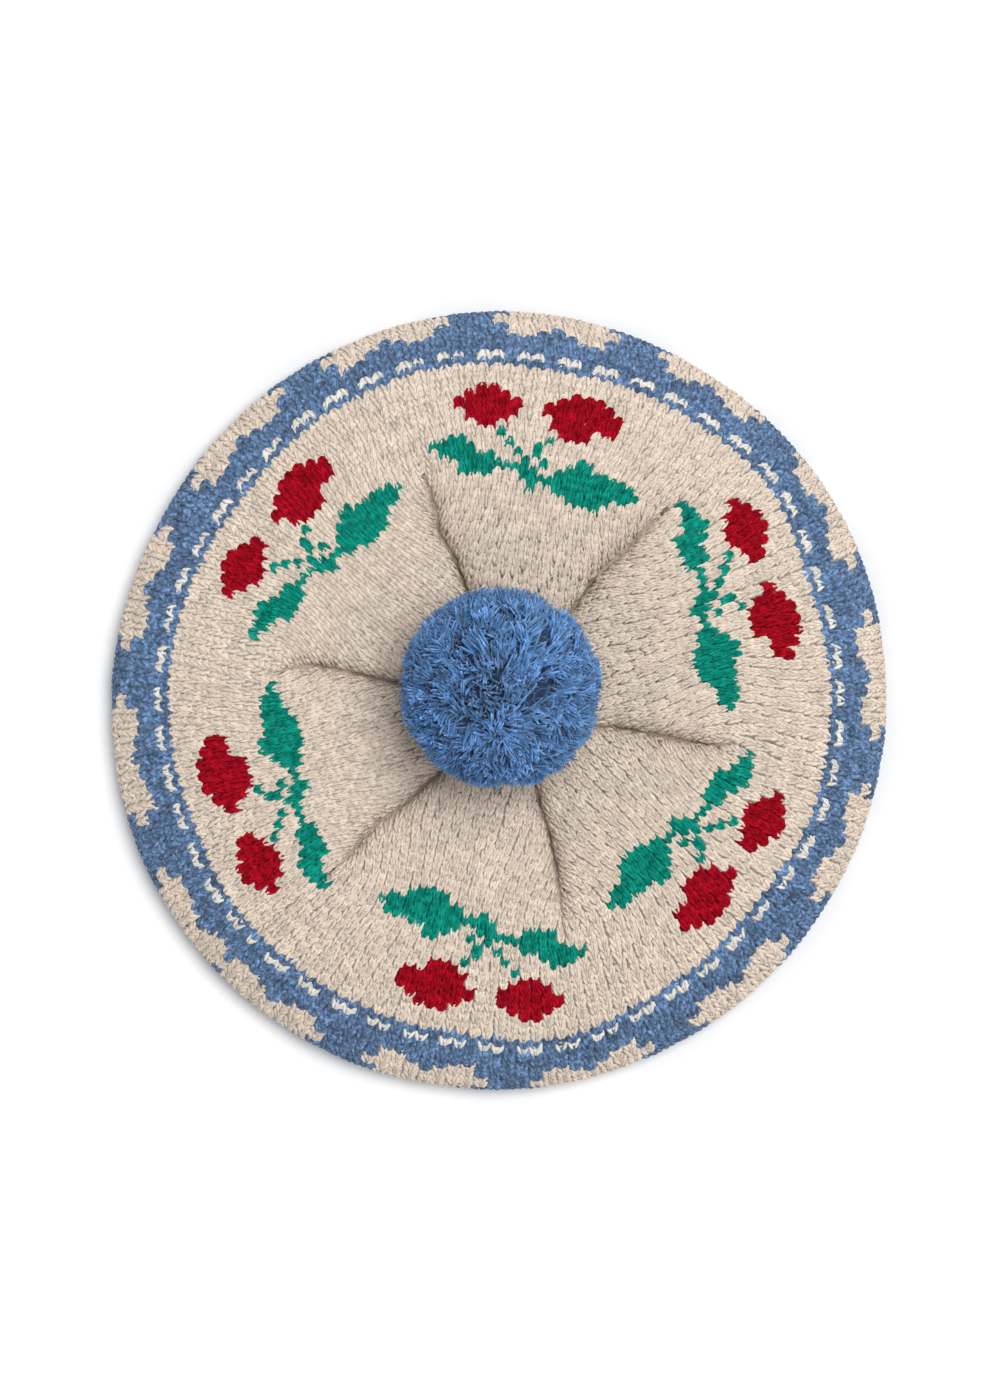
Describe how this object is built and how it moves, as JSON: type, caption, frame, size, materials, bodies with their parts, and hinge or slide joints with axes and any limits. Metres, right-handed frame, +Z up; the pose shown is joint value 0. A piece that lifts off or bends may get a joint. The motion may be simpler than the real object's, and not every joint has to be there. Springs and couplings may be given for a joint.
{
  "type": "knit beret with pompom",
  "caption": "Hollow knitted beret with a rolled round rim, a ribbed head band underneath, tucked folds at the centre and a cut-yarn pompom on top.",
  "frame": {"origin": "centre of the beret's outline on the surface it rests on", "axes": "+Z up through the pompom; +Y is the upper edge of the reference view, +X its right edge"},
  "size_m": [0.2592, 0.2606, 0.0967],
  "materials": {
    "oatmeal_wool": "heathered knitted wool",
    "blue_wool": "knitted wool",
    "red_wool": "knitted wool",
    "green_wool": "knitted wool",
    "white_wool": "knitted wool",
    "pompom_wool": "cut wool yarn"
  },
  "bodies": {
    "root": {"crown": "oatmeal_wool", "rib_brim": "blue_wool", "pompom": "pompom_wool", "pompom_tie": "pompom_wool"}
  },
  "joints": []
}
